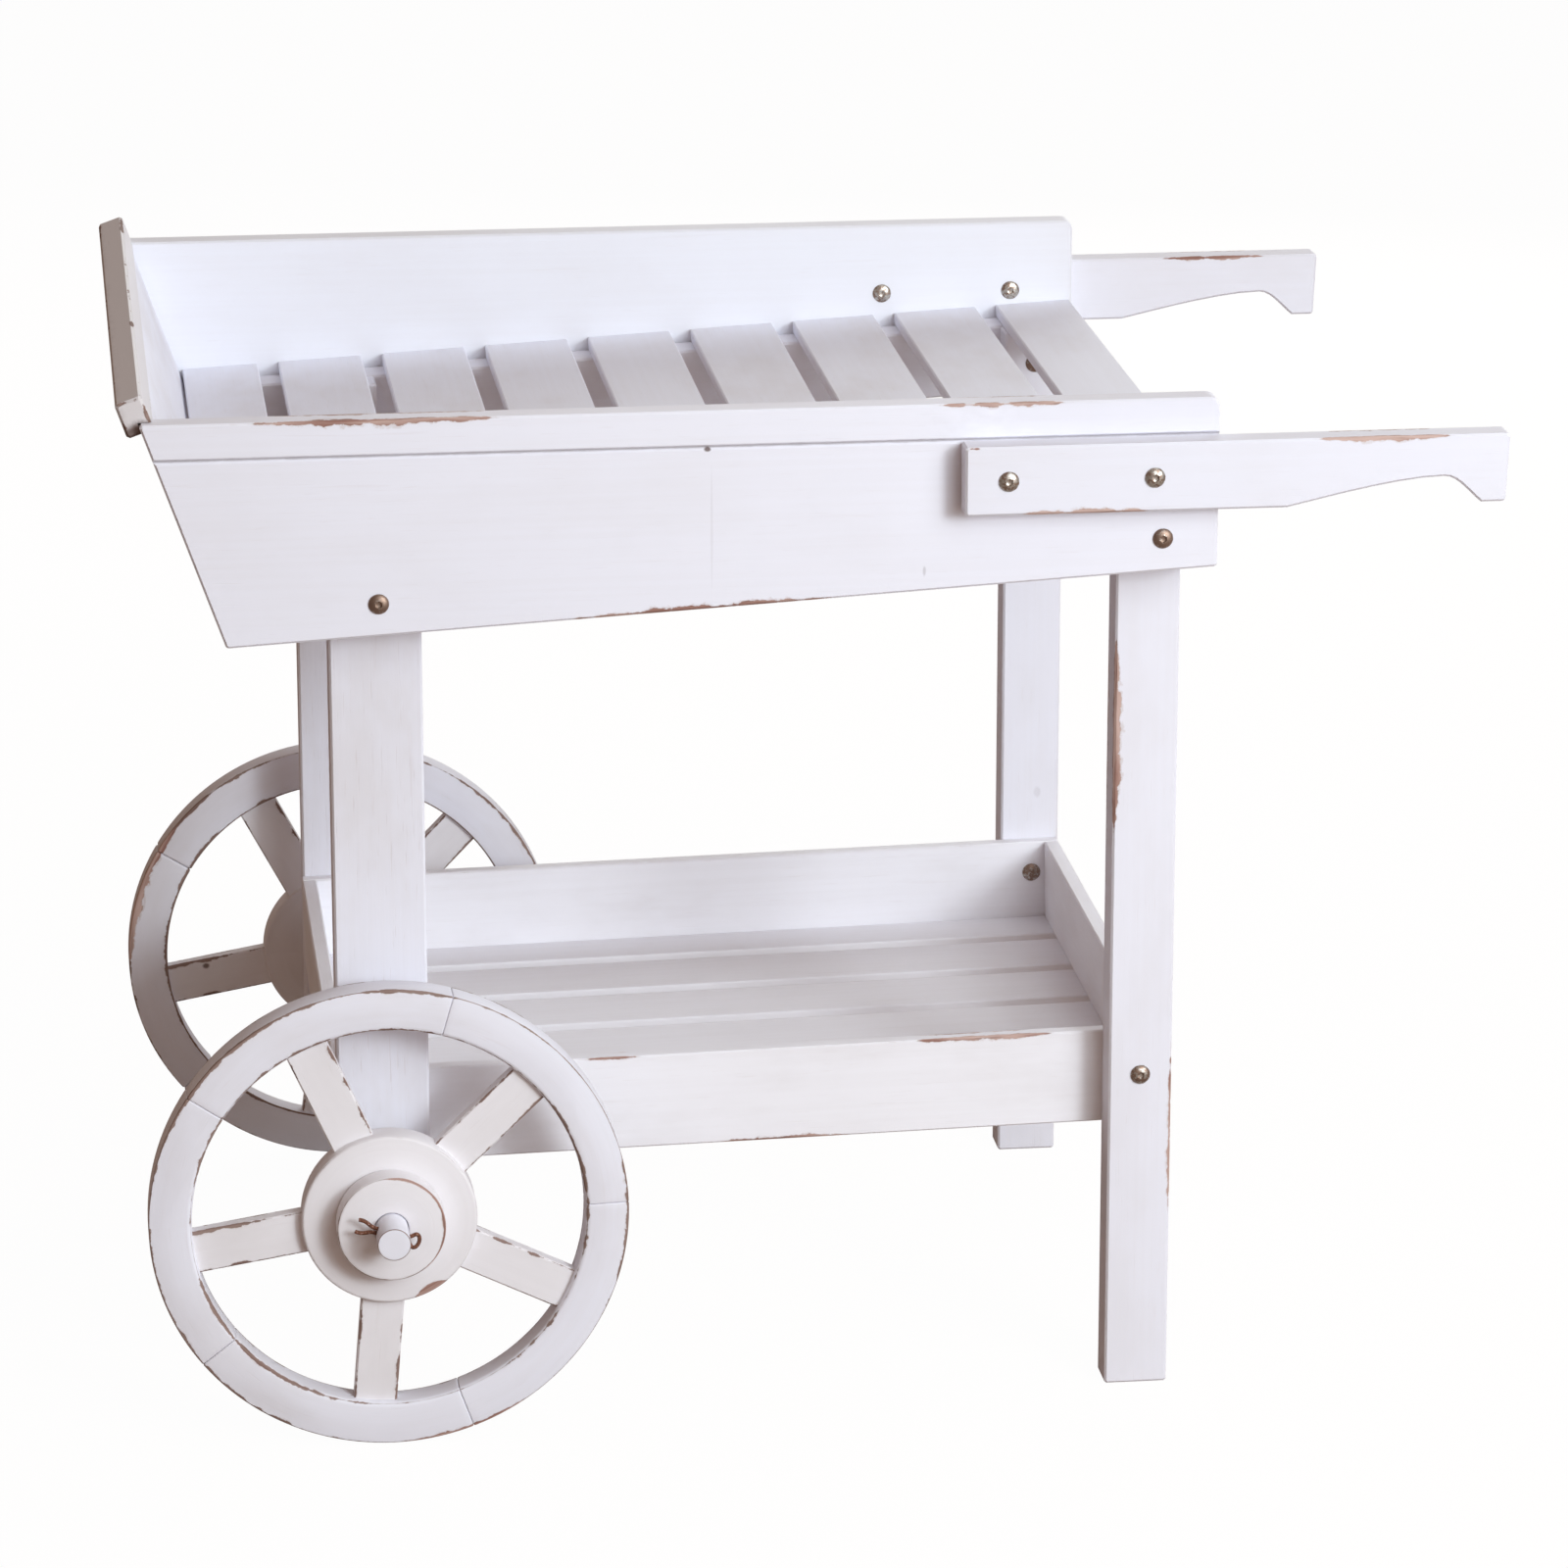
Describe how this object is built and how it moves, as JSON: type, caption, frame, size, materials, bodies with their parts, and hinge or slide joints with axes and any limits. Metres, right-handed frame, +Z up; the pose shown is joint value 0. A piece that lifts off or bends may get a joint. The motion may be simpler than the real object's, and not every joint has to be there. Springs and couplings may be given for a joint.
{
  "type": "flower cart stand",
  "caption": "Wooden flower cart stand: sloping slatted display tray with hooked handles, on spoked wheels and legs, with a slatted lower tray.",
  "frame": {"origin": "middle of the cart's footprint, on the floor that the wheels and legs stand on", "axes": "+X along the cart from the wheels towards the handles, -Y the side in front in the picture, +Z up"},
  "size_m": [0.9896, 0.7736, 0.7905],
  "materials": {
    "painted_board": "worn white matt paint over reddish brown wood",
    "painted_slat": "white matt paint, lightly soiled",
    "painted_wheel": "white matt paint, rubbed through at the edges",
    "worn_bolt": "nickel gone brownish, bright on the dome",
    "rusty_pin": "rusty, with traces of white paint"
  },
  "bodies": {
    "cart": {"axle": "painted_wheel", "end_panel": "painted_board", "end_rail": "painted_board", "floor_slat_1": "painted_slat", "floor_slat_2": "painted_slat", "floor_slat_3": "painted_slat", "floor_slat_4": "painted_slat", "floor_slat_5": "painted_slat", "floor_slat_6": "painted_slat", "floor_slat_7": "painted_slat", "floor_slat_8": "painted_slat", "floor_slat_9": "painted_slat", "handle_back": "painted_board", "handle_bolt_back_1": "worn_bolt", "handle_bolt_back_2": "worn_bolt", "handle_bolt_front_1": "worn_bolt", "handle_bolt_front_2": "worn_bolt", "handle_front": "painted_board", "ledger_back": "painted_slat", "ledger_front": "painted_slat", "leg_back_handle_end": "painted_board", "leg_back_wheel_end": "painted_board", "leg_bolt_back_handle_end": "worn_bolt", "leg_bolt_back_wheel_end": "worn_bolt", "leg_bolt_front_handle_end": "worn_bolt", "leg_bolt_front_wheel_end": "worn_bolt", "leg_front_handle_end": "painted_board", "leg_front_wheel_end": "painted_board", "lower_bolt_back": "worn_bolt", "lower_bolt_front": "worn_bolt", "lower_end_handle": "painted_board", "lower_end_wheel": "painted_board", "lower_side_back": "painted_board", "lower_side_front": "painted_board", "lower_slat_1": "painted_slat", "lower_slat_2": "painted_slat", "lower_slat_3": "painted_slat", "lower_slat_4": "painted_slat", "lower_slat_5": "painted_slat", "lower_slat_6": "painted_slat", "split_pin_back": "rusty_pin", "split_pin_front": "rusty_pin", "tray_side_back": "painted_board", "tray_side_front": "painted_board"},
    "wheel_front": {"wheel_front_cap": "painted_wheel", "wheel_front_hub": "painted_wheel", "wheel_front_rim": "painted_wheel", "wheel_front_spoke_1": "painted_wheel", "wheel_front_spoke_2": "painted_wheel", "wheel_front_spoke_3": "painted_wheel", "wheel_front_spoke_4": "painted_wheel", "wheel_front_spoke_5": "painted_wheel"},
    "wheel_back": {"wheel_back_cap": "painted_wheel", "wheel_back_hub": "painted_wheel", "wheel_back_rim": "painted_wheel", "wheel_back_spoke_1": "painted_wheel", "wheel_back_spoke_2": "painted_wheel", "wheel_back_spoke_3": "painted_wheel", "wheel_back_spoke_4": "painted_wheel", "wheel_back_spoke_5": "painted_wheel"}
  },
  "joints": [
    {"name": "wheel_front_spin", "type": "hinge", "parent": "cart", "child": "wheel_front", "pos_m": [-0.31371, -0.332, 0.175], "axis": [0, 1, 0], "continuous": true},
    {"name": "wheel_back_spin", "type": "hinge", "parent": "cart", "child": "wheel_back", "pos_m": [-0.31371, 0.332, 0.175], "axis": [0, 1, 0], "continuous": true}
  ]
}
